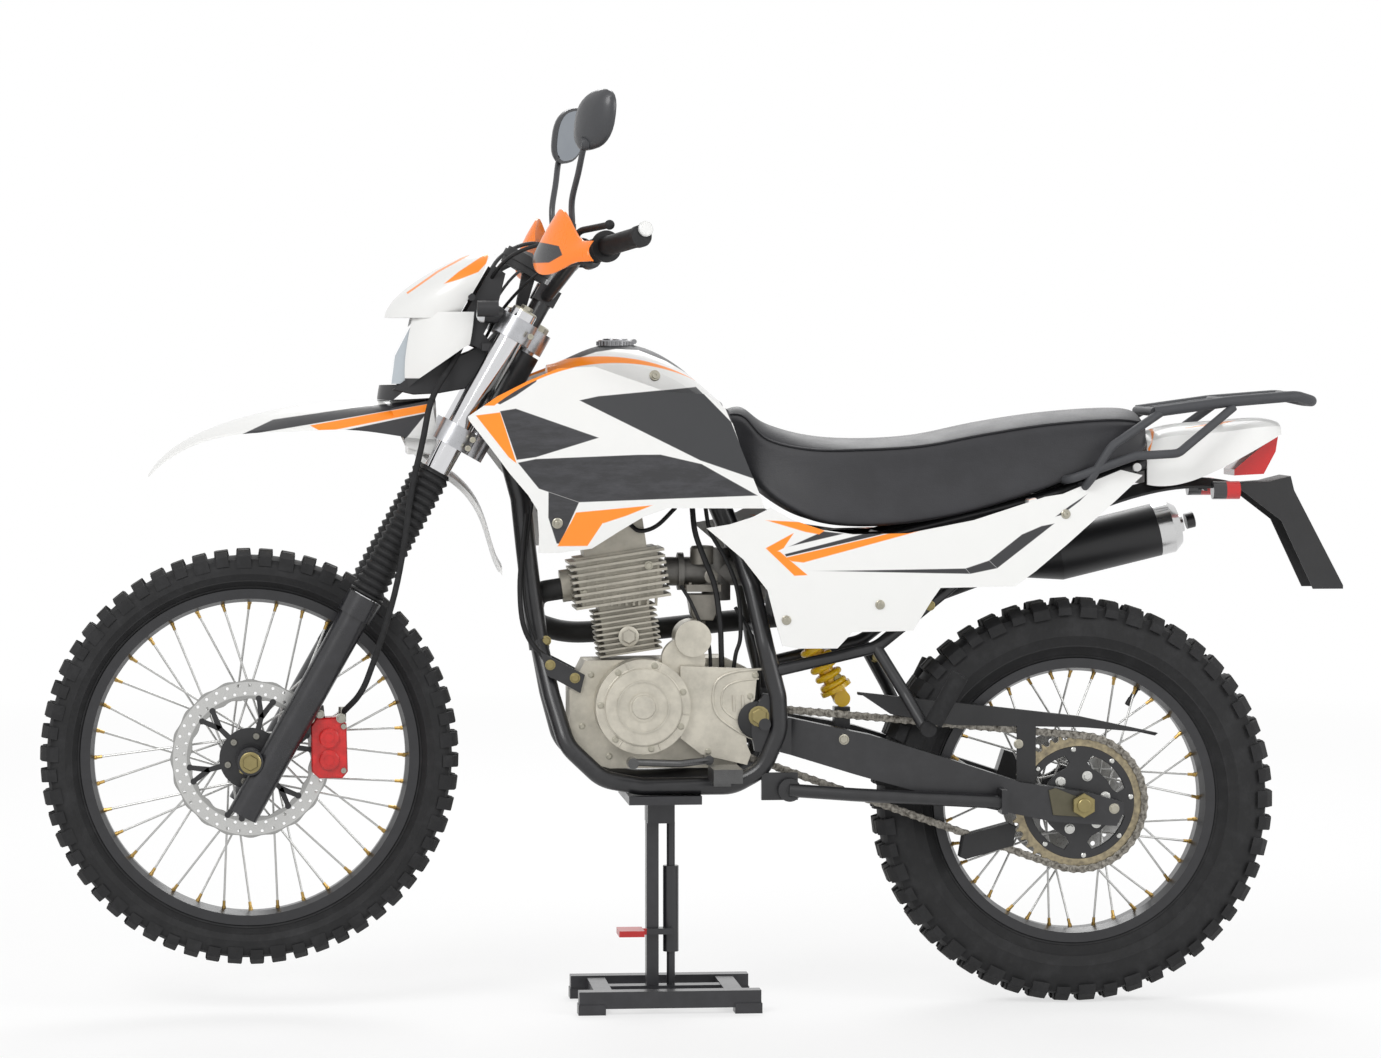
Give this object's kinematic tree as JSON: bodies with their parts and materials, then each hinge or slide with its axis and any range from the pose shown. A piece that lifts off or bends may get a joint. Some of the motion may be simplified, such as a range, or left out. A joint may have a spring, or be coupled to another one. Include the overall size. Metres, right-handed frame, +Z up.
{
  "type": "enduro dirt bike on a lift stand",
  "caption": "Single-cylinder enduro dirt bike with spoked wheels, telescopic fork, chain drive, luggage rack and folded side stand, held upright by a hydraulic lift stand under its frame.",
  "frame": {"origin": "on the floor under the centre of the overall box, on the bike's centre plane", "axes": "-X to the front wheel, -Y to the bike's left side, +Z up"},
  "size_m": [2.165, 0.8092, 1.5092],
  "materials": {
    "main_frame": "satin black",
    "subframe": "satin black",
    "swingarm": "satin black",
    "rear_shock": "yellow coil",
    "drive_chain": "oiled steel",
    "crankcase": "cast",
    "engine_covers": "cast",
    "output_sprocket": "machined",
    "cylinder": "cast",
    "cylinder_head": "cast",
    "carburettor": "cast",
    "exhaust_pipe": "matt black",
    "muffler": "satin black with bright cap",
    "air_box": "moulded",
    "fuel_tank": "black with white top",
    "fuel_cap": "moulded",
    "tank_shrouds": "white, orange and charcoal",
    "seat": "black vinyl",
    "side_panels": "white with stripes",
    "tail_fairing": "white",
    "rear_mudguard": "moulded",
    "tail_lamps": "red lens",
    "luggage_rack": "dark grey",
    "rear_axle": "zinc",
    "rear_caliper": "black",
    "chain_guard": "moulded",
    "foot_controls": "steel",
    "passenger_footpegs": "rubber",
    "lift_base": "black",
    "lift_column": "black",
    "lift_cylinder": "black with red pedal",
    "triple_clamps": "silver",
    "fork_tubes": "chromed",
    "fork_gaiters": "ribbed rubber",
    "fork_sliders": "satin black",
    "handlebar": "black",
    "hand_controls": "rubber and black metal",
    "handguards": "orange and black",
    "mirrors": "dark grey",
    "headlight_cowl": "white with stripes",
    "front_lamps": "clear lens, black carrier",
    "gauge": "moulded",
    "front_fender": "white with stripes",
    "front_caliper": "red",
    "front_axle": "steel",
    "brake_hose": "black",
    "front_tyre": "knobbed",
    "front_rim": "black anodised",
    "front_spokes": "steel",
    "front_hub": "black",
    "front_disc": "machined",
    "rear_tyre": "knobbed",
    "rear_rim": "black anodised",
    "rear_spokes": "steel",
    "rear_hub": "black",
    "rear_sprocket": "black",
    "rear_disc": "machined",
    "side_stand": "black"
  },
  "bodies": {
    "chassis": {"main_frame": "main_frame", "subframe": "subframe", "swingarm": "swingarm", "rear_shock": "rear_shock", "drive_chain": "drive_chain", "crankcase": "crankcase", "engine_covers": "engine_covers", "output_sprocket": "output_sprocket", "cylinder": "cylinder", "cylinder_head": "cylinder_head", "carburettor": "carburettor", "exhaust_pipe": "exhaust_pipe", "muffler": "muffler", "air_box": "air_box", "fuel_tank": "fuel_tank", "fuel_cap": "fuel_cap", "tank_shrouds": "tank_shrouds", "seat": "seat", "side_panels": "side_panels", "tail_fairing": "tail_fairing", "rear_mudguard": "rear_mudguard", "tail_lamps": "tail_lamps", "luggage_rack": "luggage_rack", "rear_axle": "rear_axle", "rear_caliper": "rear_caliper", "chain_guard": "chain_guard", "foot_controls": "foot_controls", "passenger_footpegs": "passenger_footpegs", "lift_base": "lift_base", "lift_column": "lift_column", "lift_cylinder": "lift_cylinder"},
    "steering": {"triple_clamps": "triple_clamps", "fork_tubes": "fork_tubes", "fork_gaiters": "fork_gaiters", "fork_sliders": "fork_sliders", "handlebar": "handlebar", "hand_controls": "hand_controls", "handguards": "handguards", "mirrors": "mirrors", "headlight_cowl": "headlight_cowl", "front_lamps": "front_lamps", "gauge": "gauge", "front_fender": "front_fender", "front_caliper": "front_caliper", "front_axle": "front_axle", "brake_hose": "brake_hose"},
    "front_wheel": {"front_tyre": "front_tyre", "front_rim": "front_rim", "front_spokes": "front_spokes", "front_hub": "front_hub", "front_disc": "front_disc"},
    "rear_wheel": {"rear_tyre": "rear_tyre", "rear_rim": "rear_rim", "rear_spokes": "rear_spokes", "rear_hub": "rear_hub", "rear_sprocket": "rear_sprocket", "rear_disc": "rear_disc"},
    "side_stand": {"side_stand": "side_stand"}
  },
  "joints": [
    {"name": "steering_turn", "type": "hinge", "parent": "chassis", "child": "steering", "pos_m": [-0.67851, 0, 0.38664], "axis": [0.4909, 0, 0.8712], "range_deg": [-40, 40]},
    {"name": "front_wheel_spin", "type": "hinge", "parent": "steering", "child": "front_wheel", "pos_m": [-0.7395, 0, 0.421], "axis": [0, 1, 0], "continuous": true},
    {"name": "rear_wheel_spin", "type": "hinge", "parent": "chassis", "child": "rear_wheel", "pos_m": [0.6305, 0, 0.338], "axis": [0, 1, 0], "continuous": true},
    {"name": "side_stand_swing", "type": "hinge", "parent": "chassis", "child": "side_stand", "pos_m": [0.142, -0.116, 0.3675], "axis": [0, 1, 0], "range_deg": [0, 90]}
  ]
}
